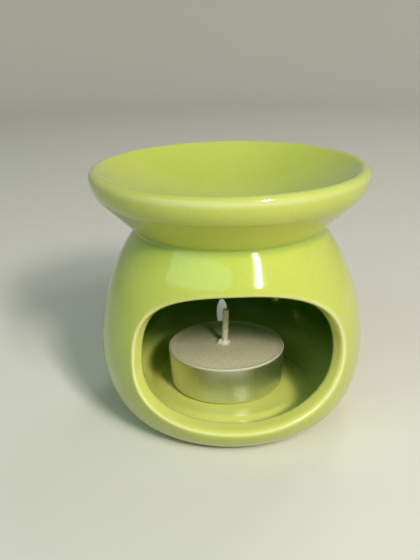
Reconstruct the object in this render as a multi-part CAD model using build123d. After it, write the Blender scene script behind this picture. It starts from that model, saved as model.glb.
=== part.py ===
from build123d import *
import math
import os

# Essential oil burner: a glazed pot with a dish for water and oil on top, and a tealight inside.
# Lengths are in millimetres and angles in degrees. The burner stands on z = 0 with its axis on Z,
# and the mouth of its hearth faces -Y.

# Hearth pot, outside
pot_radius = 41.8  # at its widest ring
widest_height = 23.4  # that ring, above the table
foot_radius = 27.5  # outer edge of the ring that it stands on
crease_radius = 29.1  # where the shoulder would meet the collar, were the crease sharp
crease_height = 61.2
crease_fillet = 1.2
collar_flare = 2.5  # from the crease out to the luted joint, where the dish sits
collar_height = 1.8
collar_share = 0.9  # of the collar's slant, the most that the crease's fillet takes up

# Hearth pot, inside and underneath
pot_wall = 5.2
throat_radius = 18.0  # least radius of the hole up through the collar
floor_height = 7.3  # top of the round seat that the tealight stands on
seat_radius = 23.6
channel_width = 3.4  # ring channel round the seat, from the seat's edge to its lowest line
channel_depth = 0.9
foot_ring_width = 5.5
foot_recess = 1.6
foot_round = 0.5

# Mouth of the hearth, cut through the front wall
mouth_span = 97.0  # share of the widest ring that it takes away
mouth_sill = 3.75  # its lower edge above the floor, between its two side edges
mouth_head = 12.25  # its upper edge below the crease, likewise
mouth_side_draft = 30.4  # how fast the sides close in towards the hearth
mouth_sill_draft = 8.3  # the same for the sill and the head
mouth_fullness_left = 2.7  # 2 is an ellipse, more is squarer
mouth_fullness_right = 2.05
mouth_outer_round = 1.8
mouth_inner_round = 1.4
mouth_points = 24  # points of its outline
cut_margin = 8.0  # how far a cutter runs past the wall that it goes through

# Air vents in the back wall: one low in the middle and one higher on each side
vent_width = 3.8
vent_length = 10.8
vent_low = 8.4  # height of the middle vent's centre above the floor
vent_step = 11.4  # how much higher the side vents are
vent_angle = 32.0
vent_round = 0.7

# Oil dish
dish_height = 17.0  # from the luted joint to the top of the lip
dish_radius = 42.4
lip_round = 1.9
flare_radius = 9.3  # outside, where the cone turns up into the lip
bowl_depth = 12.8

# Tealight
tealight_offset = -1.5  # it stands this far to the side of the pot's axis
cup_radius = 19.0
cup_height = 12.9
cup_draft = 2.5
cup_sheet = 0.3
cup_corner = 1.6
cup_bead = 0.3  # radius of the rolled rim
cup_panel_radius = 13.0  # stamped up in the middle of the base
cup_panel_rise = 0.5
wax_below_rim = 0.4
wax_clearance = 0.1
wax_skirt_width = 1.4  # wax drawn up round the wick
wax_skirt_height = 1.1
wax_skirt_tip = 0.25
wick_radius = 1.05
wick_free_length = 11.8  # above the wax
wick_bend_radius = 60.0
wick_lean = 3.0
wick_clearance = 0.06
wick_back = 2.0  # it stands this far behind the cup's axis
wick_side = -0.35  # and this far to one side of it
sustainer_radius = 6.2
sustainer_sheet = 0.3
sustainer_neck_height = 3.8
sustainer_neck_wall = 0.4

# Places and radii that follow from the sizes above
joint_height = crease_height + collar_height
collar_radius = crease_radius + collar_flare
mouth_bottom = floor_height + mouth_sill
mouth_top = crease_height - mouth_head
cup_rim = floor_height + cup_height
cup_panel = floor_height + cup_panel_rise + cup_sheet
cup_slope = math.tan(math.radians(cup_draft))
cup_inside = cup_radius - 2 * cup_bead
wax_top = cup_rim - wax_below_rim
wick_bore = wick_radius + wick_clearance
neck_radius = wick_bore + sustainer_neck_wall


def rz(radius, z):
    """A point of a profile, which is drawn in the XZ plane."""
    return Vector(radius, 0, z)


def chain(*points):
    """Straight edges from each point to the next."""
    return [Line(start, end) for start, end in zip(points, points[1:])]


def arc(centre, start, end):
    """The shorter arc about a centre."""
    towards = (start - centre) + (end - centre)
    return ThreePointArc(start, centre + towards.normalized() * (start - centre).length, end)


def turn(*edges):
    """Revolves a closed profile about the Z axis."""
    return revolve(make_face(Wire(edges)), Axis.Z)


def cut_and_round(solid, cutter, radius):
    """Cuts the solid and rounds the edges that the cut leaves on its faces."""
    cut = solid - cutter
    return fillet(new_edges(solid, cutter, combined=cut), radius)


def shoulder_circle():
    """Centre and radius of the arc from the widest ring up to the crease."""
    drop = pot_radius - crease_radius
    radius = (drop**2 + (crease_height - widest_height) ** 2) / (2 * drop)
    return rz(pot_radius - radius, widest_height), radius


def shoulder(inset, top):
    """Arc from the widest ring up to the given height, set in by a wall's thickness."""
    centre, radius = shoulder_circle()
    reach = math.sqrt((radius - inset) ** 2 - (top - widest_height) ** 2)
    return arc(centre, rz(pot_radius - inset, widest_height), rz(centre.X + reach, top))


def wall_top():
    """Where the wall's inside ends: at the joint, or below it where it closes in to the throat."""
    centre, radius = shoulder_circle()
    rise = math.sqrt((radius - pot_wall) ** 2 - (throat_radius - centre.X) ** 2)
    return min(joint_height, widest_height + rise)


def belly(centre_radius, widest, bottom):
    """Quarter ellipse that starts level at the bottom and ends upright at the widest ring."""
    sizes = (widest - centre_radius, widest_height - bottom)
    curve = EllipticalCenterArc((centre_radius, widest_height), *sizes, 270, arc_size=90)
    return Plane.XZ.location * curve


def crease_round():
    """Fillet of the crease, which ends before the collar does."""
    collar = rz(collar_radius, joint_height) - rz(crease_radius, crease_height)
    turn_angle = math.radians((shoulder(0, crease_height) % 1).get_angle(collar))
    return min(crease_fillet, collar_share * collar.length / math.tan(turn_angle / 2))


def pot_outside():
    """The pot as a full lump: foot ring, belly, shoulder and collar."""
    ring = foot_radius - foot_ring_width
    recess = rz(ring - foot_recess, foot_recess)
    crease = rz(crease_radius, crease_height)
    lump = turn(
        *chain(rz(0, joint_height), rz(0, foot_recess), recess, rz(ring, 0), rz(foot_radius, 0)),
        belly(foot_radius, pot_radius, 0),
        shoulder(0, crease_height),
        *chain(crease, rz(collar_radius, joint_height), rz(0, joint_height)),
    )
    circles = lump.edges().filter_by(GeomType.CIRCLE)
    lump = fillet(circles.sort_by(lambda edge: abs(edge.center().Z - crease_height))[0], crease_round())
    standing = lump.edges().filter_by(GeomType.CIRCLE).group_by(Axis.Z)[0]
    return fillet(standing.sort_by(SortBy.RADIUS)[0], foot_round)


def hearth():
    """The space inside the pot: seat, channel, wall, and a round hole up through the collar."""
    channel = rz(seat_radius + channel_width, floor_height - channel_depth)
    seat_edge = rz(seat_radius, floor_height)
    level = (1, 0, 0)
    wall = shoulder(pot_wall, wall_top())
    throat = [rz(throat_radius, joint_height)] if wall_top() < joint_height else []
    return turn(
        *chain(rz(0, joint_height), rz(0, floor_height), seat_edge),
        Spline(seat_edge, channel, tangents=(level, level)),
        belly(channel.X, pot_radius - pot_wall, channel.Z),
        wall,
        *chain(wall @ 1, *throat, rz(0, joint_height)),
    )


def mouth_outline(y):
    """Outline of the mouth in the upright plane at y: a superellipse, fuller on one side."""
    half_angle = math.radians(mouth_span / 2)
    forward = -y - pot_radius * math.cos(half_angle)
    half_width = pot_radius * math.sin(half_angle) + forward * math.tan(math.radians(mouth_side_draft))
    half_height = (mouth_top - mouth_bottom) / 2 + forward * math.tan(math.radians(mouth_sill_draft))
    points = []
    for step in range(mouth_points):
        across = math.cos(2 * math.pi * step / mouth_points)
        up = math.sin(2 * math.pi * step / mouth_points)
        power = 2 / (mouth_fullness_right if across > 0 else mouth_fullness_left)
        x = half_width * math.copysign(abs(across) ** power, across)
        z = half_height * math.copysign(abs(up) ** power, up)
        points.append((x, y, (mouth_top + mouth_bottom) / 2 + z))
    return Wire([Spline(*points, periodic=True)])


def mouth_cutter():
    """Closes in from a plane in front of the pot to one inside the hearth."""
    front = pot_radius + cut_margin
    back = pot_radius * math.cos(math.radians(mouth_span / 2)) - pot_wall - cut_margin
    return Solid.make_loft([mouth_outline(-front), mouth_outline(-back)], ruled=True)


def vent_cutters():
    """Upright oval prisms that run out through the back wall, square to the axis."""
    inside = pot_radius - pot_wall - 2 * cut_margin
    for side in (-1, 0, 1):
        height = floor_height + vent_low + vent_step * abs(side)
        plane = Plane((0, inside, height), x_dir=(0, 0, 1), z_dir=(0, 1, 0))
        prism = extrude(plane * Ellipse(vent_length / 2, vent_width / 2), pot_wall + 3 * cut_margin)
        yield Rot(0, 0, side * vent_angle) * prism


def hearth_pot():
    pot = cut_and_round(pot_outside(), mouth_cutter(), mouth_outer_round)
    pot = cut_and_round(pot, hearth(), mouth_inner_round)
    for cutter in vent_cutters():
        pot = cut_and_round(pot, cutter, vent_round)
    return pot


def oil_dish():
    """A shallow bowl with a flat luted base, a cone outside and a full round lip."""
    top = joint_height + dish_height
    lip = rz(dish_radius - lip_round, top - lip_round)
    lip_side = rz(dish_radius, lip.Z)

    # The cone leaves the collar's edge and touches the arc that turns it up into the lip.
    base_edge = rz(collar_radius, joint_height)
    flare = rz(dish_radius - flare_radius, lip.Z)
    reach = flare - base_edge
    angle = math.atan2(reach.Z, reach.X) - math.asin(flare_radius / reach.length)
    length = math.sqrt(reach.length**2 - flare_radius**2)
    touch = base_edge + rz(math.cos(angle), math.sin(angle)) * length

    # The bowl is a piece of a sphere that runs into the round of the lip.
    bottom = top - bowl_depth
    rise = lip.Z - bottom
    bowl_radius = (lip.X**2 + rise**2 - lip_round**2) / (2 * (rise + lip_round))
    bowl = rz(0, bottom + bowl_radius)
    meeting = bowl + (lip - bowl).normalized() * bowl_radius

    return turn(
        *chain(rz(0, bottom), rz(0, joint_height), base_edge, touch),
        arc(flare, touch, lip_side),
        arc(lip, lip_side, meeting),
        arc(bowl, meeting, rz(0, bottom)),
    )


def block(bottom, top, bottom_radius, top_radius=None):
    """A turned block between two heights, with sloping sides where its radii differ."""
    upper = bottom_radius if top_radius is None else top_radius
    return turn(*chain(rz(0, bottom), rz(bottom_radius, bottom), rz(upper, top), rz(0, top), rz(0, bottom)))


def round_base(solid, radius):
    """Rounds the lower edge of a turned block."""
    return fillet(solid.edges().filter_by(GeomType.CIRCLE).sort_by(Axis.Z)[0], radius)


def at_tealight(solid):
    """Moves a piece from the pot's axis to the tealight's."""
    return Pos(tealight_offset, 0, 0) * solid


def at_wick(solid):
    """Moves a piece from the pot's axis to the wick's."""
    return at_tealight(Pos(wick_side, wick_back, 0) * solid)


def cup_side(z):
    """Inside radius of the cup's drafted side."""
    return cup_inside - (cup_rim - cup_bead - z) * cup_slope


def tealight_cup():
    """Drawn from thin sheet: a stamped base, sides with a draft and a rolled rim."""
    bottom, inner_bottom, top = floor_height, floor_height + cup_sheet, cup_rim - cup_bead
    outside = block(bottom, top, cup_side(bottom) + cup_sheet, cup_side(top) + cup_sheet)
    inside = block(inner_bottom, top, cup_side(inner_bottom), cup_side(top))
    panel = block(bottom, bottom + cup_panel_rise, cup_panel_radius + cup_panel_rise, cup_panel_radius)
    room = round_base(inside, cup_corner - cup_sheet) - Pos(0, 0, cup_sheet) * panel
    bead = Pos(0, 0, top) * Torus(cup_radius - cup_bead, cup_bead)
    return at_tealight(round_base(outside, cup_corner) - panel - room + bead)


def tealight_wax():
    """Fills the cup, with room below for the sustainer and a bore for the wick."""
    radii = (cup_side(cup_panel) - wax_clearance, cup_side(wax_top) - wax_clearance)
    wax = round_base(block(cup_panel, wax_top, *radii), cup_corner)
    foot = rz(wick_bore + wax_skirt_width, wax_top)
    tip = rz(wick_bore + wax_skirt_tip, wax_top + wax_skirt_height)
    skirt = turn(
        *chain(tip, rz(0, tip.Z), rz(0, wax_top), foot),
        Spline(foot, tip, tangents=((-1, 0, 0), (0, 0, 1))),
    )
    disc_top = cup_panel + sustainer_sheet + wax_clearance
    neck_top = cup_panel + sustainer_neck_height + wax_clearance
    disc_room = block(cup_panel, disc_top, sustainer_radius + wax_clearance)
    neck_room = block(cup_panel, neck_top, neck_radius + wax_clearance)
    bore = block(cup_panel, tip.Z, wick_bore)
    return at_tealight(wax) + at_wick(skirt) - at_wick(disc_room + neck_room + bore)


def wick_sustainer():
    """Thin disc with a neck that grips the wick."""
    disc = block(cup_panel, cup_panel + sustainer_sheet, sustainer_radius)
    neck_top = cup_panel + sustainer_neck_height
    neck = block(cup_panel, neck_top, neck_radius)
    return at_wick(disc + neck - block(cup_panel, neck_top, wick_bore))


def tealight_wick():
    """Round braid: straight through the wax, then a slight bend to one side."""
    lean = math.radians(wick_lean)
    root, surface = rz(0, cup_panel), rz(0, wax_top)
    centre = rz(wick_bend_radius, wax_top)
    bend_end = centre + rz(-math.cos(lean), math.sin(lean)) * wick_bend_radius
    end = bend_end + rz(math.sin(lean), math.cos(lean)) * (wick_free_length - wick_bend_radius * lean)
    path = Wire([Line(root, surface), arc(centre, surface, bend_end), Line(bend_end, end)])
    return at_wick(sweep(Plane(root) * Circle(wick_radius), path))


nodes = {
    "hearth_pot": hearth_pot,
    "oil_dish": oil_dish,
    "tealight_cup": tealight_cup,
    "tealight_wax": tealight_wax,
    "tealight_wick": tealight_wick,
    "wick_sustainer": wick_sustainer,
}

os.makedirs("parts", exist_ok=True)
for name, build in nodes.items():
    solid = build()
    export_step(solid, os.path.join("parts", name + ".step"))
    print(name, "valid" if solid.is_valid else "not valid", round(solid.volume), "mm3")
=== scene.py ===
import math

import bmesh
import bpy
import numpy as np
from mathutils import Matrix, Vector


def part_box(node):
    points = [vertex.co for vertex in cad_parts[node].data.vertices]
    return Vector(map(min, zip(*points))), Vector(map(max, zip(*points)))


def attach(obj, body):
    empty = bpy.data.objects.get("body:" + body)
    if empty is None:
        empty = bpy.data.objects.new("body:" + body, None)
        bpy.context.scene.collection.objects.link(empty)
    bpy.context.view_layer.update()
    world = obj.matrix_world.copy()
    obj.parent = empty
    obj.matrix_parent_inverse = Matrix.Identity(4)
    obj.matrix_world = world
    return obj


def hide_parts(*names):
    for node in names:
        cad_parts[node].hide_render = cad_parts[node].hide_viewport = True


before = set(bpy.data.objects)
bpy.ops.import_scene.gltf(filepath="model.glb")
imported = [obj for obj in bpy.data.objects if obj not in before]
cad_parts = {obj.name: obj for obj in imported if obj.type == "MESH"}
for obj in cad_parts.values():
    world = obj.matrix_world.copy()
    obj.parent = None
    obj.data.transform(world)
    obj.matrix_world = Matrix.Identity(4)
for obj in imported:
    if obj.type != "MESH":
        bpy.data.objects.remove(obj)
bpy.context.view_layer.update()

mm = 0.001
tiny = 1e-6
far = 99.0   # a distance in millimetres that is never the nearest
scene = bpy.context.scene
scene.view_settings.view_transform = "Standard"


# Nodes and sockets

def newMaterial(name):
    material = bpy.data.materials.new(name)
    material.use_nodes = True
    tree = material.node_tree
    return material, tree, tree.nodes["Principled BSDF"]


def addNode(tree, kind, **settings):
    node = tree.nodes.new(kind)
    for key, value in settings.items():
        if hasattr(node, key):
            setattr(node, key, value)
        else:
            node.inputs[key.replace("_", " ")].default_value = value
    return node


def feed(tree, socket, value):
    # Links another node's socket, or sets a plain value.
    if isinstance(value, bpy.types.NodeSocket):
        tree.links.new(value, socket)
    else:
        socket.default_value = (*value, 1.0) if socket.type == "RGBA" else value


def feedShader(tree, shader, values):
    for name, value in values.items():
        feed(tree, shader.inputs[name], value)


def objectCoords(tree):
    return addNode(tree, "ShaderNodeTexCoord").outputs["Object"]


def stretched(tree, scale):
    mapping = addNode(tree, "ShaderNodeMapping", Scale=scale)
    feed(tree, mapping.inputs["Vector"], objectCoords(tree))
    return mapping.outputs["Vector"]


def attribute(tree, name):
    return addNode(tree, "ShaderNodeAttribute", attribute_name=name).outputs["Fac"]


def noiseValue(tree, coords, scale, detail):
    node = addNode(tree, "ShaderNodeTexNoise", Scale=scale, Detail=detail)
    feed(tree, node.inputs["Vector"], coords)
    return node.outputs["Fac"]


def ramp(tree, value, low, high, fromLow=0.0, fromHigh=1.0):
    node = addNode(tree, "ShaderNodeMapRange", From_Min=fromLow, From_Max=fromHigh, To_Min=low, To_Max=high)
    feed(tree, node.inputs["Value"], value)
    return node.outputs["Result"]


mixSockets = {"RGBA": (0, 6, 7, 2), "FLOAT": (0, 2, 3, 0)}   # factor, first, second and result


def mix(tree, factor, first, second, kind="RGBA"):
    node = addNode(tree, "ShaderNodeMix", data_type=kind)
    *places, result = mixSockets[kind]
    for place, value in zip(places, (factor, first, second)):
        feed(tree, node.inputs[place], value)
    return node.outputs[result]


def calculate(tree, operation, first, second):
    node = addNode(tree, "ShaderNodeMath", operation=operation)
    feed(tree, node.inputs[0], first)
    feed(tree, node.inputs[1], second)
    return node.outputs[0]


# A look holds a noise's scale and detail, the range it is mapped to, or a bump's distance and strength.

def patches(tree, coords, look):
    return ramp(tree, noiseValue(tree, coords, *look["noise"]), *look["range"])


def relief(tree, coords, look):
    return noiseValue(tree, coords, *look["noise"]), *look["bump"]


def bump(tree, shader, *layers):
    # A layer is a height, a distance in metres and a strength, and lies on the layer before it.
    under = None
    for height, distance, strength in layers:
        node = addNode(tree, "ShaderNodeBump", Strength=strength, Distance=distance)
        feed(tree, node.inputs["Height"], height)
        if under:
            feed(tree, node.inputs["Normal"], under)
        under = node.outputs["Normal"]
    feed(tree, shader.inputs["Normal"], under)


# Meshes

def makePiece(name, points, faces, material):
    mesh = bpy.data.meshes.new(name)
    mesh.from_pydata([tuple(p) for p in points], [], [tuple(f) for f in faces])
    mesh.polygons.foreach_set("use_smooth", [True] * len(mesh.polygons))
    mesh.materials.append(material)
    piece = bpy.data.objects.new(name, mesh)
    scene.collection.objects.link(piece)
    return piece


def addAttribute(piece, name, values):
    layer = piece.data.attributes.new(name, "FLOAT", "POINT")
    layer.data.foreach_set("value", np.clip(np.asarray(values, dtype=np.float32), 0, 1))


def ringPairs(segments):
    return [(j, (j + 1) % segments) for j in range(segments)]


def ringQuads(count, segments, closed=False):
    # Faces between rings of points. A closed run joins the last ring to the first.
    faces = []
    for i in range(count if closed else count - 1):
        low, high = i * segments, (i + 1) % count * segments
        faces += [(low + j, low + k, high + k, high + j) for j, k in ringPairs(segments)]
    return faces


def ringFan(pole, start, segments):
    return [(pole, start + k, start + j) for j, k in ringPairs(segments)]


def cappedRings(count, segments):
    # Two points that follow the rings close the first ring and the last one.
    pole, last = count * segments, (count - 1) * segments
    caps = ringFan(pole, 0, segments) + [f[::-1] for f in ringFan(pole + 1, last, segments)]
    return ringQuads(count, segments) + caps


def evenStep(low, high, values):
    return np.clip((values - low) / (high - low), 0, 1)


def smoothStep(low, high, values):
    t = evenStep(low, high, values)
    return t * t * (3 - 2 * t)


# A section is a run of lines and arcs in the (radius, height) plane, with the solid on its left.

def line(a, b):
    return {"kind": "line", "a": np.array(a, float), "b": np.array(b, float)}


def arc(centre, a, b, turn):
    centre, a, b = (np.array(v, float) for v in (centre, a, b))
    startAngle = math.atan2(*(a - centre)[::-1])
    endAngle = math.atan2(*(b - centre)[::-1])
    sweep = ((endAngle - startAngle) * turn) % (2 * math.pi)
    return {"kind": "arc", "a": a, "b": b, "centre": centre, "radius": np.linalg.norm(a - centre),
            "start": startAngle, "sweep": sweep, "turn": turn}


def arcThrough(a, b, c):
    (ax, ay), (bx, by), (cx, cy) = a, b, c
    d = 2 * (ax * (by - cy) + bx * (cy - ay) + cx * (ay - by))
    aa, bb, cc = ax * ax + ay * ay, bx * bx + by * by, cx * cx + cy * cy
    centre = ((aa * (by - cy) + bb * (cy - ay) + cc * (ay - by)) / d,
              (aa * (cx - bx) + bb * (ax - cx) + cc * (bx - ax)) / d)
    return arc(centre, a, c, 1 if d > 0 else -1)


def roundedLines(points, radii):
    points = [np.array(p, float) for p in points]
    run, last = [], points[0]
    for before, corner, after, radius in zip(points, points[1:], points[2:], radii):
        back = (before - corner) / np.linalg.norm(before - corner)
        ahead = (after - corner) / np.linalg.norm(after - corner)
        half = math.acos(np.clip(back @ ahead, -1, 1)) / 2
        trim = radius / math.tan(half)
        middle = corner + (back + ahead) / np.linalg.norm(back + ahead) * radius / math.sin(half)
        turn = 1 if back[0] * ahead[1] - back[1] * ahead[0] < 0 else -1
        start, end = corner + back * trim, corner + ahead * trim
        run += [line(last, start), arc(middle, start, end, turn)]
        last = end
    return run + [line(last, points[-1])]


def runDistance(run, radius, height):
    nearest = np.full(radius.shape, np.inf)
    signed = np.zeros(radius.shape)
    for part in run:
        a, b = part["a"], part["b"]
        if part["kind"] == "line":
            length = np.linalg.norm(b - a)
            tx, ty = (b - a) / length
            t = np.clip((radius - a[0]) * tx + (height - a[1]) * ty, 0, length)
            away = np.hypot(radius - a[0] - t * tx, height - a[1] - t * ty)
            side = (radius - a[0]) * ty - (height - a[1]) * tx
        else:
            dx, dy = radius - part["centre"][0], height - part["centre"][1]
            out = np.hypot(dx, dy)
            swept = ((np.arctan2(dy, dx) - part["start"]) * part["turn"]) % (2 * math.pi)
            ends = np.minimum(*(np.hypot(radius - end[0], height - end[1]) for end in (a, b)))
            away = np.where(swept <= part["sweep"], np.abs(out - part["radius"]), ends)
            side = (out - part["radius"]) * part["turn"]
        closer = away < nearest
        nearest = np.where(closer, away, nearest)
        signed = np.where(closer, np.where(side < 0, -away, away), signed)
    return signed


def sampleRun(run, lineStep, arcSteps):
    samples = []
    for part in run:
        if part["kind"] == "line":
            reach = part["b"] - part["a"]
            count = max(1, round(np.linalg.norm(reach) / lineStep))
            samples += [part["a"] + reach * i / count for i in range(count)]
        else:
            for i in range(arcSteps):
                angle = part["start"] + part["turn"] * part["sweep"] * i / arcSteps
                around = np.array([math.cos(angle), math.sin(angle)])
                samples.append(part["centre"] + part["radius"] * around)
    return samples + [run[-1]["b"]]


# The fired ceramic: sizes in millimetres

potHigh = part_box("hearth_pot")[1]
dishLow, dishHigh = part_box("oil_dish")
burner = {
    "potRadius": potHigh[0] / mm, "widestHeight": 23.4, "bellyArcs": 8,
    "footRadius": 27.5, "footRing": 5.5, "footRecess": 1.6, "footRound": 0.6,
    "creaseRadius": 29.1, "creaseHeight": 61.4, "creaseRound": 0.9,
    "wall": 5.2, "floor": 7.3, "seatRadius": 23.6, "channelWidth": 3.4, "channelDepth": 0.9,
    "ceiling": dishLow[2] / mm, "ceilingRound": 5.0,
    "collarRadius": 30.7, "dishRadius": dishHigh[0] / mm, "lipTop": dishHigh[2] / mm,
    "lipRound": 1.9, "flareRound": 9.3, "bowlDepth": 12.8,
}


def bellyRun(centreRadius, widest, bottom):
    middle, pieces = burner["widestHeight"], burner["bellyArcs"]

    def point(t):
        angle = math.radians(-90 + 90 * t)
        return (centreRadius + (widest - centreRadius) * math.cos(angle),
                middle + (middle - bottom) * math.sin(angle))

    ends = [i / pieces for i in range(pieces + 1)]
    return [arcThrough(point(t), point((t + u) / 2), point(u)) for t, u in zip(ends, ends[1:])]


def outsideRun():
    b = burner
    ring = b["footRadius"] - b["footRing"]
    run = roundedLines([(0, b["footRecess"]), (ring - b["footRecess"], b["footRecess"]), (ring, 0),
                        (b["footRadius"], 0)], [b["footRound"]] * 2)
    run += bellyRun(b["footRadius"], b["potRadius"], 0)

    drop, rise = b["potRadius"] - b["creaseRadius"], b["creaseHeight"] - b["widestHeight"]
    shoulderRadius = (drop**2 + rise**2) / (2 * drop)
    shoulder = np.array([b["potRadius"] - shoulderRadius, b["widestHeight"]])

    # The cone under the dish leaves the collar's edge and touches the arc that turns up to the lip.
    lip = np.array([b["dishRadius"] - b["lipRound"], b["lipTop"] - b["lipRound"]])
    lipSide = np.array([b["dishRadius"], lip[1]])
    flare = np.array([b["dishRadius"] - b["flareRound"], lip[1]])
    baseEdge = np.array([b["collarRadius"], b["ceiling"]])
    reach = flare - baseEdge
    length = np.linalg.norm(reach)
    angle = math.atan2(reach[1], reach[0]) - math.asin(b["flareRound"] / length)
    along = np.array([math.cos(angle), math.sin(angle)])
    air = np.array([along[1], -along[0]])
    touch = baseEdge + along * math.sqrt(length**2 - b["flareRound"]**2)

    # The crease is a hollow arc that touches the shoulder and the cone.
    offset = baseEdge + air * b["creaseRound"] - shoulder
    dot = offset @ along
    reachOut = shoulderRadius + b["creaseRound"]
    crease = shoulder + offset + along * (-dot + math.sqrt(dot**2 - offset @ offset + reachOut**2))
    onShoulder = shoulder + (crease - shoulder) * shoulderRadius / reachOut
    onCone = crease - air * b["creaseRound"]

    bottom = b["lipTop"] - b["bowlDepth"]
    up = lip[1] - bottom
    bowlRadius = (lip[0]**2 + up**2 - b["lipRound"]**2) / (2 * (up + b["lipRound"]))
    bowl = np.array([0, bottom + bowlRadius])
    meeting = bowl + (lip - bowl) / np.linalg.norm(lip - bowl) * bowlRadius
    run += [
        arc(shoulder, (b["potRadius"], b["widestHeight"]), onShoulder, 1),
        arc(crease, onShoulder, onCone, -1),
        line(onCone, touch),
        arc(flare, touch, lipSide, 1),
        arc(lip, lipSide, meeting, 1),
        arc(bowl, meeting, (0, bottom), -1),
    ]
    return run, shoulder, shoulderRadius, (onShoulder + onCone) / 2


def hearthRun(shoulder, shoulderRadius):
    b = burner
    seat, width, depth = b["seatRadius"], b["channelWidth"], b["channelDepth"]
    channelRound = (width**2 / 4 + depth**2 / 4) / depth
    middle = (seat + width / 2, b["floor"] - depth / 2)
    low = (seat + width, b["floor"] - depth)
    widest = b["potRadius"] - b["wall"]
    inner = shoulderRadius - b["wall"]
    soft = b["ceilingRound"]
    corner = np.array([0, b["ceiling"] - soft])
    corner[0] = shoulder[0] + math.sqrt((inner - soft)**2 - (corner[1] - shoulder[1])**2)
    onWall = shoulder + (corner - shoulder) * inner / (inner - soft)
    return [
        line((0, b["floor"]), (seat, b["floor"])),
        arc((seat, b["floor"] - channelRound), (seat, b["floor"]), middle, -1),
        arc((low[0], low[1] + channelRound), middle, low, 1),
        *bellyRun(low[0], widest, low[1]),
        arc(shoulder, (widest, b["widestHeight"]), onWall, 1),
        arc(corner, onWall, (corner[0], b["ceiling"]), 1),
        line((corner[0], b["ceiling"]), (0, b["ceiling"])),
    ]


outside, shoulderCentre, shoulderRadius, creaseAt = outsideRun()
hearth = hearthRun(shoulderCentre, shoulderRadius)


def shellGaps(radius, height):
    return runDistance(outside, radius, height), -runDistance(hearth, radius, height)


def softMax(a, b, softness):
    blend = np.maximum(softness - np.abs(a - b), 0) / softness
    return np.maximum(a, b) + blend**3 * softness / 6


# The mouth is a tapered oval, cut by hand: fuller on the left, and a little rounder at the upper left.

mouth = {
    "span": 97.0, "bottom": 11.05, "top": 48.95, "sideDraft": 30.4, "sillDraft": 8.3,
    "fullRight": 2.05, "fullLeft": 2.7, "fullUpperLeft": 2.5, "upperBlend": 6.0, "leftInset": 0.45,
    "leastHalf": 1.0, "frontLimit": -6.0,
    "crispEdge": 1.9, "rolledEdge": 3.6, "innerEdge": 1.0, "innerBlend": 2.4,   # how soft its edges are
    "sillHeight": (26, 12), "sillSide": (-26, -8), "jambSide": (8, 26), "jambShare": 0.6,
    "headHeight": (40, 47), "headShare": 0.85,
}


def mouthDistance(x, y, z):
    m = mouth
    half = math.radians(m["span"] / 2)
    sideSlope = math.tan(math.radians(m["sideDraft"]))
    sillSlope = math.tan(math.radians(m["sillDraft"]))
    forward = -y - burner["potRadius"] * math.cos(half)
    wide = np.maximum(burner["potRadius"] * math.sin(half) + forward * sideSlope, m["leastHalf"])
    tall = np.maximum((m["top"] - m["bottom"]) / 2 + forward * sillSlope, m["leastHalf"])
    rise = z - (m["top"] + m["bottom"]) / 2
    upper = smoothStep(-m["upperBlend"], m["upperBlend"], rise)
    fullLeft = m["fullLeft"] + (m["fullUpperLeft"] - m["fullLeft"]) * upper
    power = np.where(x > 0, m["fullRight"], fullLeft)
    wide = np.where(x > 0, wide, wide - m["leftInset"])
    u, v = np.abs(x) / wide + tiny, np.abs(rise) / tall + tiny
    total = u**power + v**power
    size = total**(1 / power)
    share = size / total
    du, dv = share * u**(power - 1), share * v**(power - 1)
    taper = du * u * sideSlope / wide + dv * v * sillSlope / tall
    slope = np.sqrt((du / wide)**2 + (dv / tall)**2 + taper**2)
    return (size - 1) / np.maximum(slope, tiny)


def mouthSoftness(outsideGap, hearthGap, x, z):
    # Crisp along the left jamb, rolled over along the sill, the right jamb and the head.
    m = mouth
    sill = smoothStep(*m["sillHeight"], z) * smoothStep(*m["sillSide"], x)
    rolled = np.maximum(sill, m["jambShare"] * smoothStep(*m["jambSide"], x))
    rolled = np.maximum(rolled, m["headShare"] * smoothStep(*m["headHeight"], z))
    outer = m["crispEdge"] + (m["rolledEdge"] - m["crispEdge"]) * rolled
    outward = smoothStep(-m["innerBlend"], m["innerBlend"], outsideGap - hearthGap)
    return m["innerEdge"] + (outer - m["innerEdge"]) * outward


# Vents in the back wall: one low in the middle and one higher on each side

vents = {
    "width": 3.8, "length": 10.8, "low": 15.7, "step": 11.4, "angle": 32.0, "softness": 1.4,
    "backLimit": 12.0, "highLimit": 40.0,
}


def ventDistance(x, y, z, side):
    turn = math.radians(side * vents["angle"])
    across = x * math.cos(turn) + y * math.sin(turn)
    out = y * math.cos(turn) - x * math.sin(turn)
    rise = z - vents["low"] - vents["step"] * abs(side)
    wide, tall = vents["width"] / 2, vents["length"] / 2
    size = np.sqrt((across / wide)**2 + (rise / tall)**2) + tiny
    slope = np.sqrt((across / wide**2)**2 + (rise / tall**2)**2) / size
    return np.where(out > 0, (size - 1) / np.maximum(slope, tiny), far)


handwork = {
    "stray": 0.07,   # how far the hand-made surface wanders
    # Waves that are multiplied in pairs: radians per millimetre along x, y and z, and a phase
    "waves": ((1 / 15, 0, 0, 0.7), (0, 1 / 17, 0, 1.9), (1 / 31, 0, 1 / 9, 0), (-1 / 19, 1 / 23, 0, 0.4)),
    "stillHeight": 8.0, "fadeHeight": 8.0, "stillRadius": 27.0, "fadeSlope": 1.2,   # none on foot or seat
}


def handWave(x, y, z):
    h = handwork
    waves = [np.sin(a * x + b * y + c * z + phase) for a, b, c, phase in h["waves"]]
    outward = np.maximum(np.hypot(x, y) - h["stillRadius"], 0)
    fade = np.clip((z - h["stillHeight"] + h["fadeSlope"] * outward) / h["fadeHeight"], 0, 1)
    return h["stray"] * fade * (waves[0] * waves[1] + waves[2] * waves[3])


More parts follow.
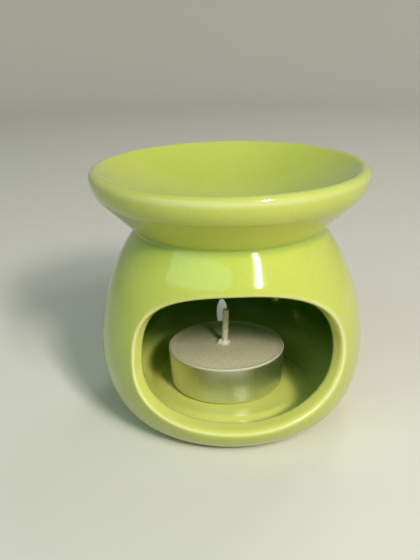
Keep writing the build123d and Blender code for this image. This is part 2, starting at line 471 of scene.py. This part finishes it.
def cutShell(outsideGap, hearthGap, x, y, z):
    solid = np.maximum(outsideGap, hearthGap)
    front = y < mouth["frontLimit"]
    softness = mouthSoftness(outsideGap[front], hearthGap[front], x[front], z[front])
    solid[front] = softMax(solid[front], -mouthDistance(x[front], y[front], z[front]), softness)
    back = (y > vents["backLimit"]) & (z < vents["highLimit"])
    for side in (-1, 0, 1):
        cut = ventDistance(x[back], y[back], z[back], side)
        solid[back] = softMax(solid[back], -cut, vents["softness"])
    return solid + handWave(x, y, z)


def shellDistance(points):
    x, y, z = points.T
    return cutShell(*shellGaps(np.hypot(x, y), z), x, y, z)


# The shell's mesh: a net through the grid cells that the surface crosses, drawn on to the surface

shellMesh = {
    "step": 0.9, "margin": 3, "tableSteps": 3, "tableReach": 1.5,
    "probe": 0.04, "bendProbe": 0.8, "relaxRounds": 3, "relaxShare": 0.5,
    "fineBend": 0.2, "fineRounds": 2,   # the net is halved where the surface bends more than this
}


def shellGrid():
    step, margin = shellMesh["step"], shellMesh["margin"]
    reach = burner["dishRadius"] + margin * step
    flat = np.arange(-reach, reach + step, step)
    levels = np.arange(-margin * step, burner["lipTop"] + (margin + 1) * step, step)
    radii = np.arange(0, reach * shellMesh["tableReach"], step / shellMesh["tableSteps"])
    x, y = np.meshgrid(flat, flat, indexing="ij")
    around = np.hypot(x, y)
    gaps = []
    for table in shellGaps(*np.meshgrid(radii, levels, indexing="ij")):
        layers = [np.interp(around, radii, table[:, k]) for k in range(len(levels))]
        gaps.append(np.stack(layers, axis=2))
    values = cutShell(*gaps, *np.meshgrid(flat, flat, levels, indexing="ij"))
    return values, np.array([flat[0], flat[0], levels[0]])


def netMesh(values, origin, step):
    inside = values < 0
    size = [n - 1 for n in values.shape]
    corners = [(i, j, k) for i in (0, 1) for j in (0, 1) for k in (0, 1)]
    count = sum(inside[i:size[0] + i, j:size[1] + j, k:size[2] + k].astype(int) for i, j, k in corners)
    active = (count > 0) & (count < len(corners))
    cells = np.argwhere(active)
    index = np.full(active.shape, -1)
    index[active] = np.arange(len(cells))
    units = np.eye(3, dtype=int)
    total, hits = np.zeros((len(cells), 3)), np.zeros(len(cells))
    for axis in range(3):
        for corner in corners:
            if corner[axis]:
                continue
            start = cells + corner
            a = values[tuple(start.T)]
            b = values[tuple((start + units[axis]).T)]
            crossing = (a < 0) != (b < 0)
            share = np.where(crossing, a / np.where(crossing, a - b, 1), 0)
            total += crossing[:, None] * (np.array(corner) + share[:, None] * units[axis])
            hits += crossing
    points = origin + (cells + total / hits[:, None]) * step
    quads = []
    for axis in range(3):
        u, v = units[(axis + 1) % 3], units[(axis + 2) % 3]
        upper = np.roll(inside, -1, axis)
        for edges, turn in ((np.argwhere(inside & ~upper), 1), (np.argwhere(~inside & upper), -1)):
            ring = [edges, edges - u, edges - u - v, edges - v][::turn]
            quads.append(np.stack([index[tuple(c.T)] for c in ring], axis=1))
    return points, np.concatenate(quads)


def slopeAt(points):
    probe = shellMesh["probe"]
    return np.stack([(shellDistance(points + probe * e) - shellDistance(points - probe * e)) / (2 * probe)
                     for e in np.eye(3)], axis=1)


def bendAt(points):
    probe = shellMesh["bendProbe"]
    total = sum(shellDistance(points + s * probe * e) for e in np.eye(3) for s in (-1, 1))
    return (total - 6 * shellDistance(points)) / probe**2


def relax(points, quads):
    total, count = np.zeros_like(points), np.zeros(len(points))
    for a, b in ((0, 1), (1, 2), (2, 3), (3, 0)):
        np.add.at(total, quads[:, a], points[quads[:, b]])
        np.add.at(count, quads[:, a], 1)
    return points + shellMesh["relaxShare"] * (total / count[:, None] - points)


def settle(points):
    # Draws the points on to the surface, along its slope.
    slope = slopeAt(points)
    return points - (shellDistance(points) / (slope**2).sum(1))[:, None] * slope


def refine(points, faces, chosen):
    # Halves the edges between chosen points.
    work = bmesh.new()
    corners = [work.verts.new(p) for p in points]
    for face in faces:
        work.faces.new([corners[i] for i in face])
    work.verts.index_update()
    edges = [e for e in work.edges if chosen[e.verts[0].index] and chosen[e.verts[1].index]]
    bmesh.ops.subdivide_edges(work, edges=edges, cuts=1, use_grid_fill=True)
    work.verts.index_update()
    finer = np.array([v.co[:] for v in work.verts])
    faces = [tuple(v.index for v in f.verts) for f in work.faces]
    work.free()
    return finer, faces


def shellSurface():
    points, quads = netMesh(*shellGrid(), shellMesh["step"])
    for _ in range(shellMesh["relaxRounds"]):
        points = settle(relax(points, quads))
    points, faces = refine(points, quads.tolist(), np.abs(bendAt(points)) > shellMesh["fineBend"])
    for _ in range(shellMesh["fineRounds"]):
        points = settle(points)
    normals = slopeAt(points)
    return points, faces, normals / np.linalg.norm(normals, axis=1)[:, None]


# How the glaze lies on the clay, and where shade and highlights are painted into its colour: reaches in
# millimetres, then how thin, pooled, shaded, lit or lean it is there

glazeAndLight = {
    "edgeReach": 1.3, "edgeReachRight": 0.8, "rightSide": (4, 24), "edgeDepth": (-2.2, -1.2),
    "edgeThinAndHighlight": 0.95,
    "innerReach": 0.9, "innerDepth": (-1.6, -0.8), "innerTop": 46, "innerThin": 0.3,
    "lipBend": (0.3, 0.55), "lipLow": 74, "lipHighlight": 0.12,
    "rimRise": 0.1, "rimWidth": 0.7, "rimInset": (1.4, 0.5), "rimHighlight": 0.5,
    "rimUneven": 0.25, "rimWaves": 3, "rimPhase": 0.6,
    "wallDepth": (-1.5, 0.2), "wallHeight": (10, 21), "wallShade": 0.96,
    "creaseReach": 1.3, "creaseDepth": -1.0, "creaseShadeAndPool": 0.3,
    "hollowBend": (0.06, 0.26), "hollowHeight": (10, 58), "hollowShadeAndPool": 0.4,
    "floorDepth": (-1.2, -0.2), "floorHeight": (15, 9), "cutDepth": (-1.0, -0.2), "cutTop": 58,
    "leanAndLitShare": 0.7,
    "footHeight": 0.55, "recessHeight": 2.4, "recessRadius": 23.0,
}


def edgeBetween(first, second, reach, depth):
    near = np.clip(1 - np.abs(first - second) / reach, 0, 1)**2
    return near * smoothStep(*depth, np.minimum(first, second))


def glazeAndLightMarks(points):
    c = glazeAndLight
    x, y, z = points.T
    around = np.hypot(x, y)
    curve = bendAt(points)
    outsideGap, hearthGap = shellGaps(around, z)
    inFront = np.minimum(y, mouth["frontLimit"])
    mouthGap = np.where(y < mouth["frontLimit"], -mouthDistance(x, inFront, z), -far)

    # The pale line along the mouth's outer edge is partly thin glaze and partly a painted highlight, wider
    # on the right where the highlight is broad.
    broad = c["edgeReach"] + c["edgeReachRight"] * smoothStep(*c["rightSide"], x)
    outerEdge = edgeBetween(outsideGap, mouthGap, broad, c["edgeDepth"])
    innerEdge = edgeBetween(hearthGap, mouthGap, c["innerReach"], c["innerDepth"]) * (z < c["innerTop"])
    # The lip's crest is painted paler as a highlight.
    lip = smoothStep(*c["lipBend"], curve) * (z > c["lipLow"])
    # A painted highlight: a pale band round the outer shoulder of the dish's lip, brighter in some places
    # than others.
    highlightHeight = burner["lipTop"] - burner["lipRound"] + c["rimRise"]
    rim = np.exp(-((z - highlightHeight) / c["rimWidth"])**2)
    rim *= smoothStep(*(burner["dishRadius"] - inset for inset in c["rimInset"]), around)
    rim *= 1 + c["rimUneven"] * (np.sin(c["rimWaves"] * np.arctan2(y, x) + c["rimPhase"]) - 1)
    # Pale where the glaze runs thin, plus painted highlights along the lip and the mouth's outer edge.
    thinGlazeAndHighlight = c["edgeThinAndHighlight"] * outerEdge + c["innerThin"] * innerEdge + c["lipHighlight"] * lip + c["rimHighlight"] * rim

    # Painted shade: the hearth's walls above the floor are darkened to a deep green, where little light
    # reaches.
    indoors = smoothStep(*c["wallDepth"], hearthGap) * smoothStep(*c["wallHeight"], z)
    # Painted shade, with some pooled glaze, in the crease under the dish.
    fromCrease = np.hypot(around - creaseAt[0], z - creaseAt[1])
    inCrease = np.exp(-(fromCrease / c["creaseReach"])**2) * (outsideGap > c["creaseDepth"])
    # Hollows between 10 and 58 mm high are darkened too: pooled glaze and painted shade.
    lowest, highest = c["hollowHeight"]
    hollow = smoothStep(*c["hollowBend"], -curve) * ((z > lowest) & (z < highest))
    poolAndShade = c["hollowShadeAndPool"] * hollow + c["creaseShadeAndPool"] * inCrease + c["wallShade"] * indoors

    # Painted light, partly thinner glaze: the hearth floor and the mouth's cut faces are paler where the
    # lamp falls in.
    hearthFloor = smoothStep(*c["floorDepth"], hearthGap) * smoothStep(*c["floorHeight"], z)
    cutFace = smoothStep(*c["cutDepth"], mouthGap) * (z < c["cutTop"])
    lean = c["leanAndLitShare"] * np.maximum(cutFace, hearthFloor)
    bare = (z < c["footHeight"]) | ((z < c["recessHeight"]) & (around < c["recessRadius"]))
    return {"thinGlazeAndHighlight": thinGlazeAndHighlight, "poolAndShade": poolAndShade, "lean": lean, "bare": bare}


glaze = {
    # The dark green paints shade in the hearth and the crease; the yellow-green lean colour is thinner
    # glaze with painted light; the pale colour is random mottle and also painted highlights.
    "lime": (0.56, 0.645, 0.115), "deep": (0.40, 0.52, 0.06), "shadeGreen": (0.03, 0.22, 0.005),
    "pale": (0.83, 0.82, 0.45), "lean": (0.80, 0.80, 0.21),
    "clay": (0.72, 0.64, 0.50), "darkClay": (0.50, 0.42, 0.31), "clayRoughness": 0.85,
    "ior": 1.52, "coat": 0.35, "coatRoughness": 0.03,
    "cloud": {"noise": (30, 4), "range": (0, 0.4, 0.35, 0.75)},
    "mottle": {"noise": (700, 3), "range": (0, 0.06, 0.4, 0.7)},
    "grit": {"noise": (1800, 5), "range": (0, 0.5, 0.35, 0.7)},
    "gloss": {"noise": (90, 3), "range": (0.09, 0.16)},
    "ripple": {"noise": (110, 2), "bump": (0.0002, 0.2)},
    "peel": {"noise": (900, 3), "bump": (0.00002, 0.2)},
}


def glazeMaterial():
    g = glaze
    material, tree, shader = newMaterial("lime_glaze")
    coords = objectCoords(tree)
    colour = mix(tree, patches(tree, coords, g["cloud"]), g["lime"], g["deep"])
    colour = mix(tree, patches(tree, coords, g["mottle"]), colour, g["pale"])
    # Colour layers: thinner glaze with painted light, then painted shade, then thin glaze with painted
    # highlights.
    for name, tint in (("lean", g["lean"]), ("poolAndShade", g["shadeGreen"]), ("thinGlazeAndHighlight", g["pale"])):
        colour = mix(tree, attribute(tree, name), colour, tint)
    bare = attribute(tree, "bare")
    clay = mix(tree, patches(tree, coords, g["grit"]), g["clay"], g["darkClay"])
    feedShader(tree, shader, {
        "Base Color": mix(tree, bare, colour, clay),
        "Roughness": mix(tree, bare, patches(tree, coords, g["gloss"]), g["clayRoughness"], "FLOAT"),
        "IOR": g["ior"], "Coat Weight": g["coat"], "Coat Roughness": g["coatRoughness"],
    })
    bump(tree, shader, relief(tree, coords, g["ripple"]), relief(tree, coords, g["peel"]))
    return material


def makeShell():
    points, faces, normals = shellSurface()
    piece = makePiece("glazed_burner", points * mm, faces, glazeMaterial())
    piece.data.normals_split_custom_set_from_vertices(normals.tolist())
    for name, values in glazeAndLightMarks(points).items():
        addAttribute(piece, name, values)
    return piece


shell = makeShell()
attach(shell, "burner")
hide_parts("hearth_pot", "oil_dish")
print("glazed shell:", len(shell.data.vertices), "points", len(shell.data.polygons), "faces")


# The tealight, in millimetres from its own axis

cupLow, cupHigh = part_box("tealight_cup")
cup = {
    "centre": (cupLow[0] + cupHigh[0]) / 2 / mm, "seat": cupLow[2] / mm, "rim": cupHigh[2] / mm,
    "radius": (cupHigh[0] - cupLow[0]) / 2 / mm, "draft": 2.5, "sheet": 0.3, "corner": 1.6,
    "bead": 0.22, "beadSteps": 12, "beadStart": -90, "beadSweep": 270, "filmDrop": 0.05,
    "panelRadius": 13.0, "panelRise": 0.5, "panelRound": 0.3, "panelInside": 0.2,
    "outsideStep": 0.4, "insideStep": 1.0, "arcSteps": 6, "segments": 288,
    "dentedAbove": (2, 5), "dentedBelow": (0.6, 2.6), "dentedFrom": 2, "wave": 0.035,
    "waves": ((0.6, 3, 0.4, 5), (0.4, 8, 0.0, 3)),   # share, number round the cup, phase, height per radian
    # Angle, height, width, tallness and depth
    "dents": ((-1.45, 11.2, 1.6, 1.1, 0.07), (-1.0, 13.4, 1.8, 1.4, 0.05),
              (1.1, 12.0, 2.0, 2.0, 0.08), (2.9, 14.0, 1.6, 1.6, 0.06)),
}
waxBottom = cup["seat"] + cup["sheet"] + cup["panelRise"]


def placeTealight(points):
    return (np.array(points) + (cup["centre"], 0, 0)) * mm


def turned(section, segments, place):
    # A section that starts and ends on the axis closes at two poles, any other is a closed ring.
    poles = section[0][0] < tiny
    rings = np.array(section[1:-1] if poles else section)
    angle = np.arange(segments) * 2 * math.pi / segments
    radius, height = (np.repeat(rings[:, i:i + 1], segments, axis=1) for i in (0, 1))
    points = np.stack(place(radius, height, angle), axis=2).reshape(-1, 3)
    if not poles:
        return points, ringQuads(len(rings), segments, closed=True)
    points = np.concatenate([points, [(0, 0, section[0][1]), (0, 0, section[-1][1])]])
    return points, cappedRings(len(rings), segments)


def cupSide(height):
    top = cup["rim"] - cup["bead"]
    return cup["radius"] - 2 * cup["bead"] - (top - height) * math.tan(math.radians(cup["draft"]))


def dentedCup(radius, height, angle):
    c = cup
    zone = evenStep(*(c["seat"] + h for h in c["dentedAbove"]), height)
    zone = zone * evenStep(*(c["rim"] - h for h in c["dentedBelow"]), height)
    zone = zone * (radius > c["panelRadius"] + c["dentedFrom"])
    push = c["wave"]
    for share, number, phase, pitch in c["waves"]:
        push = push + c["wave"] * share * np.sin(number * angle + phase + height / pitch)
    for at, rise, wide, tall, depth in c["dents"]:
        across = ((angle - at + math.pi) % (2 * math.pi) - math.pi) * c["radius"]
        push = push - depth * np.exp(-((across / wide)**2 + ((height - rise) / tall)**2) / 2)
    radius = radius + zone * push
    return radius * np.cos(angle), radius * np.sin(angle), height


def makeCup(material):
    c = cup
    low, sheet, top = c["seat"], c["sheet"], c["rim"] - c["bead"]
    panel, rise, inside = c["panelRadius"], c["panelRise"], c["panelRadius"] + c["panelInside"]
    outer = [(0, low + rise), (panel, low + rise), (panel + rise, low), (cupSide(low) + sheet, low),
             (cupSide(top) + sheet, top - c["bead"])]
    inner = [(cupSide(top), top), (cupSide(low + sheet), low + sheet), (inside + rise, low + sheet),
             (inside, low + rise + sheet), (0, low + rise + sheet)]
    panelRounds = [c["panelRound"]] * 2
    section = sampleRun(roundedLines(outer, [*panelRounds, c["corner"]]), c["outsideStep"], c["arcSteps"])
    middle = np.array([c["radius"] - c["bead"], top])
    for i in range(1, c["beadSteps"]):
        angle = math.radians(c["beadStart"] + c["beadSweep"] * i / c["beadSteps"])
        section.append(middle + c["bead"] * np.array([math.cos(angle), math.sin(angle)]))
    innerRun = roundedLines(inner, [c["corner"] - sheet, *panelRounds])
    section += sampleRun(innerRun, c["insideStep"], c["arcSteps"])
    points, faces = turned(section, c["segments"], dentedCup)
    piece = makePiece("foil_cup", placeTealight(points), faces, material)
    addAttribute(piece, "rolled", points[:, 2] > top - c["bead"] - c["filmDrop"])
    return piece


foil = {
    "streak": {"noise": (2200, 3), "stretch": (1.0, 1.0, 0.05), "range": (0, 1, 0.3, 0.7),
               "bump": (0.000004, 0.3)},
    "satin": {"noise": (160, 3), "from": (0.3, 0.7)},
    "ripple": {"noise": (330, 2), "bump": (0.00003, 0.3)},
    "film": (0.80, 0.76, 0.64), "filmRoughness": 0.6, "filmMetal": 0.25,   # wax on the rolled rim
    "drawn": {"bright": (0.78, 0.78, 0.77), "dull": (0.71, 0.72, 0.70), "roughness": (0.3, 0.4)},
    "tinned": {"bright": (0.62, 0.61, 0.58), "dull": (0.45, 0.45, 0.43), "roughness": (0.3, 0.45)},
}


def foilMaterial(name, metal):
    f = foil
    material, tree, shader = newMaterial(name)
    coords = objectCoords(tree)
    streak = noiseValue(tree, stretched(tree, f["streak"]["stretch"]), *f["streak"]["noise"])
    colour = mix(tree, ramp(tree, streak, *f["streak"]["range"]), metal["bright"], metal["dull"])
    cloud = noiseValue(tree, coords, *f["satin"]["noise"])
    satin = ramp(tree, cloud, *metal["roughness"], *f["satin"]["from"])
    rolled = attribute(tree, "rolled")
    feedShader(tree, shader, {
        "Base Color": mix(tree, rolled, colour, f["film"]),
        "Roughness": mix(tree, rolled, satin, f["filmRoughness"], "FLOAT"),
        "Metallic": ramp(tree, rolled, 1.0, f["filmMetal"]),
    })
    bump(tree, shader, (streak, *f["streak"]["bump"]), relief(tree, coords, f["ripple"]))
    return material


wax = {
    "top": 19.8, "gap": 0.1, "bore": 1.11, "cornerSteps": 5, "lineStep": 2.0, "segments": 160,
    "meniscus": ((0.0, 0.26), (0.15, 0.24), (0.45, 0.15), (0.9, 0.05)),   # inset from the cup, rise
    "flatInset": 1.4, "ringStep": 0.3,
    "skirtWidth": 1.4, "skirtHeight": 1.1, "skirtTip": 0.25, "skirtShare": 0.8, "skirtSteps": 10,
    "sustainerRadius": 6.2, "sustainerSheet": 0.3, "neckHeight": 3.8, "neckWall": 0.4,
    "wickReach": (6.6, 16.6), "topDepth": 0.02, "meltDepth": 0.1,
    # Low waves on top: height, then length and phase in both directions
    "swells": ((0.05, 4.1, 0.5, 3.7, 1.1), (0.02, 1.3, 0.0, 1.1, 0.0)),
    "swellFrom": (1.6, 3.6), "swellTo": (18.4, 16.9), "lumpFrom": (1.1, 1.35),
    # Wax that ran down the wick and set at its foot: height, place and spread
    "lumps": ((1.15, -1.75, -0.55, 0.5, 0.45), (0.95, -0.25, -1.55, 1.1, 0.4)),
    "lumpMelt": 1.6, "footMelt": 1.2, "footReach": 1.9,
}


def lumps(x, y):
    return sum(height * np.exp(-((x - atX)**2 / wide + (y - atY)**2 / deep))
               for height, atX, atY, wide, deep in wax["lumps"])


def pressedWax(radius, height, angle):
    # Rings near the wick are centred on it, rings near the cup on the cup.
    w = wax
    x, y = radius * np.cos(angle), radius * np.sin(angle)
    swell = sum(rise * np.sin(x / longX + phaseX) * np.sin(y / longY + phaseY)
                for rise, longX, phaseX, longY, phaseY in w["swells"])
    swell = swell * evenStep(*w["swellFrom"], radius) * evenStep(*w["swellTo"], radius)
    lift = swell + lumps(x, y) * evenStep(*w["lumpFrom"], radius)
    share = 1 - smoothStep(*w["wickReach"], radius)
    height = height + np.where(height > w["top"] - w["topDepth"], lift, 0)
    return x + wick["place"][0] * share, y + wick["place"][1] * share, height


def makeWax(material):
    w = wax
    low, top, gap, bore = waxBottom, w["top"], w["gap"], w["bore"]
    disc, neck = low + w["sustainerSheet"] + gap, low + w["neckHeight"] + gap
    discRadius, neckRadius = w["sustainerRadius"] + gap, bore + w["neckWall"] + gap
    rimRadius, foot = cupSide(top) - gap, bore + w["skirtWidth"]
    meniscus = [(rimRadius - inset, top + rise) for inset, rise in w["meniscus"]]
    section = [(bore, top + w["skirtHeight"]), (bore, neck), (neckRadius, neck), (neckRadius, disc),
               (discRadius, disc), (discRadius, low)]
    side = roundedLines([section[-1], (cupSide(low) - gap, low), meniscus[0]], [cup["corner"]])
    section += sampleRun(side, w["lineStep"], w["cornerSteps"])[1:] + meniscus[1:]
    step = w["ringStep"]
    section += [(r, top) for r in np.arange(rimRadius - w["flatInset"], foot + step, -step)]
    for i in range(w["skirtSteps"] + 1):
        s = i / w["skirtSteps"]
        section.append((foot - (w["skirtWidth"] - w["skirtTip"]) * s,
                        top + w["skirtShare"] * w["skirtHeight"] * s**3))
    points, faces = turned(section, w["segments"], pressedWax)
    piece = makePiece("wax", placeTealight(points), faces, material)
    x, y = points[:, 0] - wick["place"][0], points[:, 1] - wick["place"][1]
    melted = w["lumpMelt"] * lumps(x, y) + w["footMelt"] * np.exp(-(np.hypot(x, y) / w["footReach"])**4)
    addAttribute(piece, "melted", melted * (points[:, 2] > top - w["meltDepth"]))
    return piece


waxLook = {
    "dark": (0.62, 0.555, 0.38), "light": (0.88, 0.815, 0.61), "clouded": (0.76, 0.695, 0.49),
    "melted": (0.93, 0.88, 0.72), "meltedRelief": 0.15,
    "subsurface": 0.12, "subsurfaceRadius": (0.0016, 0.0012, 0.0008),
    "speckle": {"noise": (2600, 4), "range": (0, 1, 0.34, 0.66), "roughness": (0.42, 0.62),
                "bump": (0.00012, 0.6)},
    "cloud": {"noise": (120, 3), "range": (0, 0.5, 0.35, 0.7)},
    "grain": {"scale": 2100.0, "bump": (0.00012, 0.5)},
}


def waxMaterial():
    w = waxLook
    material, tree, shader = newMaterial("pressed_wax")
    coords = objectCoords(tree)
    grain = addNode(tree, "ShaderNodeTexVoronoi", Scale=w["grain"]["scale"])
    feed(tree, grain.inputs["Vector"], coords)
    speckle = noiseValue(tree, coords, *w["speckle"]["noise"])
    melted = attribute(tree, "melted")
    colour = mix(tree, ramp(tree, speckle, *w["speckle"]["range"]), w["dark"], w["light"])
    colour = mix(tree, patches(tree, coords, w["cloud"]), colour, w["clouded"])
    feedShader(tree, shader, {
        "Base Color": mix(tree, melted, colour, w["melted"]),
        "Roughness": ramp(tree, speckle, *w["speckle"]["roughness"]),
        "Subsurface Weight": w["subsurface"], "Subsurface Radius": w["subsurfaceRadius"],
    })
    rough = calculate(tree, "MULTIPLY", ramp(tree, melted, 1.0, w["meltedRelief"]), speckle)
    bump(tree, shader, (grain.outputs["Distance"], *w["grain"]["bump"]), (rough, *w["speckle"]["bump"]))
    return material


wick = {
    "place": (-0.35, 2.0), "radius": 1.05, "free": 11.8, "bend": 60.0, "lean": 3.0,
    "segments": 40, "stations": 150, "tip": 0.5, "tipRings": (0.32, 0.16, 0.05), "tipShare": 0.72,
    "tipRise": 0.02, "strands": 3, "pitch": 2.3, "plaitDepth": 0.06,
}


def wickLine(distance):
    straight = wax["top"] - waxBottom
    if distance <= straight:
        return np.array([*wick["place"], waxBottom + distance]), 0.0
    bend = wick["bend"]
    turn = min((distance - straight) / bend, math.radians(wick["lean"]))
    across, up = math.sin(turn), math.cos(turn)
    rest = distance - straight - bend * turn
    start = np.array([*wick["place"], wax["top"]])
    return start + bend * np.array([1 - up, 0, across]) + rest * np.array([across, 0, up]), turn


def makeWick(material):
    w = wick
    total = wax["top"] - waxBottom + w["free"]
    stations = [*np.linspace(0, total - w["tip"], w["stations"]), *(total - s for s in w["tipRings"])]
    points = []
    for s in stations:
        place, turn = wickLine(s)
        side, front = np.array([math.cos(turn), 0, -math.sin(turn)]), np.array([0, 1.0, 0])
        close = min(1.0, math.sqrt(max(0.0, (total - s) / w["tip"])))
        twist = 2 * math.pi * s / w["pitch"]
        for j in range(w["segments"]):
            angle = 2 * math.pi * j / w["segments"]
            plait = max(math.cos(w["strands"] * angle + twist), math.cos(w["strands"] * angle - twist))
            radius = w["radius"] - w["plaitDepth"] * (1 - plait)
            radius *= w["tipShare"] + (1 - w["tipShare"]) * close
            points.append(place + radius * (math.cos(angle) * side + math.sin(angle) * front))
    points += [wickLine(0)[0], wickLine(total + w["tipRise"])[0]]
    faces = cappedRings(len(stations), w["segments"])
    return makePiece("plaited_wick", placeTealight(points), faces, material)


cotton = {
    "light": (0.88, 0.84, 0.70), "dark": (0.70, 0.64, 0.48), "roughness": 0.7, "sheen": 0.2,
    "fibre": {"noise": (3600, 4), "stretch": (1.0, 1.0, 0.15), "range": (0, 1, 0.3, 0.7),
              "bump": (0.00008, 0.6)},
}


def cottonMaterial():
    material, tree, shader = newMaterial("waxed_cotton")
    look = cotton["fibre"]
    fibre = noiseValue(tree, stretched(tree, look["stretch"]), *look["noise"])
    feedShader(tree, shader, {
        "Base Color": mix(tree, ramp(tree, fibre, *look["range"]), cotton["light"], cotton["dark"]),
        "Roughness": cotton["roughness"], "Sheen Weight": cotton["sheen"],
    })
    bump(tree, shader, (fibre, *look["bump"]))
    return material


for piece, node, slotName in (
    (makeCup(foilMaterial("drawn_foil", foil["drawn"])), "tealight_cup", "cup_foil"),
    (makeWax(waxMaterial()), "tealight_wax", "wax"),
    (makeWick(cottonMaterial()), "tealight_wick", "cotton"),
):
    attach(piece, "tealight")
    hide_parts(node)
    print("tealight piece:", piece.name, len(piece.data.polygons), "faces")

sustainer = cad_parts["wick_sustainer"]
sustainer.data.materials.clear()
sustainer.data.materials.append(foilMaterial("tinplate", foil["tinned"]))


# Floor, light and camera, in metres

studio = {
    "floor": (0.50, 0.455, 0.39), "floorSeen": (0.84, 0.825, 0.80), "floorRoughness": 0.9,
    "flatRadius": 0.75, "bendRadius": 0.45, "bendSteps": 16, "wallTop": 1.2, "segments": 96,
    "world": (0.86, 0.98, 1.0), "worldStrength": 0.08,
    "lamps": [
        {"name": "key", "at": (0.335, -0.82, 0.605), "size": (0.16, 0.16), "power": 5.45,
         "colour": (1.0, 0.94, 0.80), "inGloss": False},
        {"name": "strip", "at": (0.32, -0.62, 0.61), "size": (0.07, 0.29), "power": 2.6,
         "colour": (1.0, 0.96, 0.88), "inGloss": True, "roll": -16.0},
        {"name": "front", "at": (0.10, -0.82, 0.88), "size": (0.5, 0.4), "power": 0.8,
         "colour": (0.95, 1.0, 0.92), "inGloss": False},
        {"name": "window", "at": (-0.565, -0.625, 0.74), "size": (1.2, 0.42), "power": 2.0,
         "colour": (0.48, 1.0, 0.88), "inGloss": True, "diffuse": 0.1},
        {"name": "bounce", "at": (0.9, -0.25, 0.35), "size": (0.8, 0.6), "power": 0.8,
         "colour": (1.0, 0.86, 0.66), "inGloss": False},
        {"name": "back", "at": (0.38, 0.58, 0.95), "size": (0.35, 0.35), "power": 1.6,
         "colour": (1.0, 0.97, 0.92), "inGloss": False},
    ],
    "aim": (0.0, 0.0, 0.04),
}


def floorMaterial():
    # What the camera and mirrors see is paler than what lights the burner from below.
    material, tree, shader = newMaterial("pale_floor")
    rays = addNode(tree, "ShaderNodeLightPath")
    seen = rays.outputs["Is Camera Ray"]
    for kind in ("Is Glossy Ray", "Is Transmission Ray"):
        seen = calculate(tree, "MAXIMUM", seen, rays.outputs[kind])
    feedShader(tree, shader, {
        "Base Color": mix(tree, seen, studio["floor"], studio["floorSeen"]),
        "Roughness": studio["floorRoughness"],
    })
    return material


def makeFloor():
    # A wide bowl: flat under the burner, then bent up into a wall all round.
    flat, bend, segments = studio["flatRadius"], studio["bendRadius"], studio["segments"]
    section = [(flat + bend * math.sin(angle), bend * (1 - math.cos(angle)))
               for angle in np.linspace(0, math.pi / 2, studio["bendSteps"] + 1)]
    section.append((flat + bend, studio["wallTop"]))
    turns = [2 * math.pi * j / segments for j in range(segments)]
    points = [(r * math.cos(a), r * math.sin(a), h) for r, h in section for a in turns] + [(0, 0, 0)]
    faces = ringFan(len(points) - 1, 0, segments) + ringQuads(len(section), segments)
    makePiece("studio_floor", points, [f[::-1] for f in faces], floorMaterial())


def aimed(at, target, roll):
    direction = Vector(target) - Vector(at)
    turn = direction.to_track_quat("-Z", "Y").to_matrix().to_4x4()
    return Matrix.Translation(at) @ turn @ Matrix.Rotation(math.radians(roll), 4, "Z")


def makeLights():
    for lamp in studio["lamps"]:
        light = bpy.data.lights.new(lamp["name"], "AREA")
        light.shape = "RECTANGLE"
        light.size, light.size_y = lamp["size"]
        light.energy = lamp["power"]
        light.color = lamp["colour"]
        light.diffuse_factor = lamp.get("diffuse", 1.0)
        holder = bpy.data.objects.new(lamp["name"], light)
        holder.matrix_world = aimed(lamp["at"], studio["aim"], lamp.get("roll", 0.0))
        holder.visible_glossy = lamp["inGloss"]
        holder.visible_camera = False
        scene.collection.objects.link(holder)
    world = bpy.data.worlds.new("studio_air")
    world.use_nodes = True
    sky = world.node_tree.nodes["Background"]
    feed(world.node_tree, sky.inputs["Color"], studio["world"])
    feed(world.node_tree, sky.inputs["Strength"], studio["worldStrength"])
    scene.world = world


photoView = {
    "focalPixels": 745.0, "framePixels": 560, "sensor": 36.0, "nearest": 0.01,
    "distance": 0.22358, "height": 0.12585, "roundPot": -5.0,
    "pitch": 20.417, "yaw": -1.655, "roll": 1.186,
}


def makeCamera():
    v = photoView
    pitch, yaw, roll = (math.radians(v[key]) for key in ("pitch", "yaw", "roll"))
    forward = Vector((math.sin(yaw) * math.cos(pitch), math.cos(yaw) * math.cos(pitch), -math.sin(pitch)))
    right = Vector((math.cos(yaw), -math.sin(yaw), 0))
    down = forward.cross(right)
    across = right * math.cos(roll) + down * math.sin(roll)
    below = down * math.cos(roll) - right * math.sin(roll)
    around = Matrix.Rotation(math.radians(v["roundPot"]), 4, "Z")
    axes = Matrix((across, -below, -forward)).transposed().to_4x4()
    data = bpy.data.cameras.new("photo_camera")
    data.sensor_width = v["sensor"]
    data.lens = v["focalPixels"] * v["sensor"] / v["framePixels"]
    data.clip_start = v["nearest"]
    camera = bpy.data.objects.new("photo_camera", data)
    camera.matrix_world = around @ Matrix.Translation((0, -v["distance"], v["height"])) @ axes
    scene.collection.objects.link(camera)
    scene.camera = camera


makeFloor()
makeLights()
makeCamera()
print("floor, lights and camera are in place")
